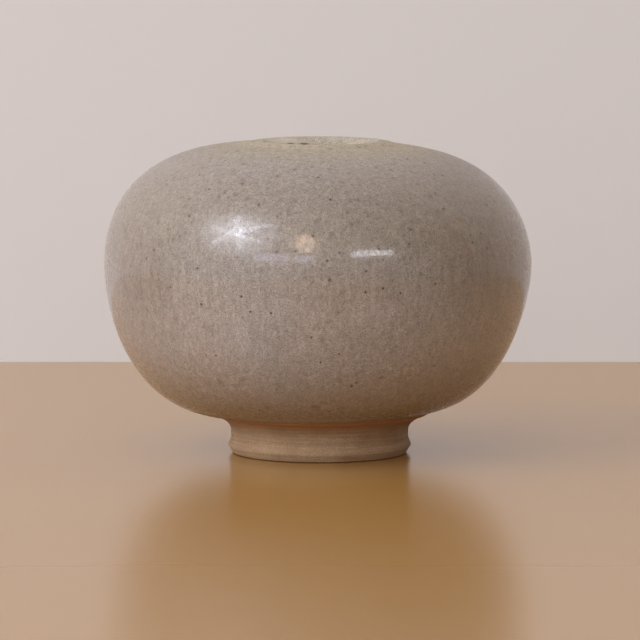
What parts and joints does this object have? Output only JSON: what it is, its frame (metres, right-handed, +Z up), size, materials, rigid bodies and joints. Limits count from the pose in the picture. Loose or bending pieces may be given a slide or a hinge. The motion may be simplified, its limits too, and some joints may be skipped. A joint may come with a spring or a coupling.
{
  "type": "globe vase",
  "caption": "Squat hollow stoneware globe with a narrow low-lipped mouth on a flat shoulder and a short turned foot ring, glazed inside and out above a bare foot; holds stems and water.",
  "frame": {"origin": "On the table under the middle of the foot ring, which is the bottom centre of the bounding box.", "axes": "+Z up along the turning axis of the vase; X and Y are level and equivalent, and the picture looks along +Y."},
  "size_m": [0.1706, 0.1706, 0.1249],
  "materials": {
    "stoneware": "bare fired buff stoneware, turned, matt and slightly gritty",
    "grey_glaze": "semi-gloss warm grey feldspathic glaze with fine iron specks",
    "liner_glaze": "thinner coat of the same warm grey glaze, satin"
  },
  "bodies": {
    "root": {"lower_bowl": "stoneware", "upper_dome": "stoneware", "mouth_lip": "stoneware", "foot_ring": "stoneware", "outer_glaze": "grey_glaze", "liner_glaze": "liner_glaze"}
  },
  "joints": []
}
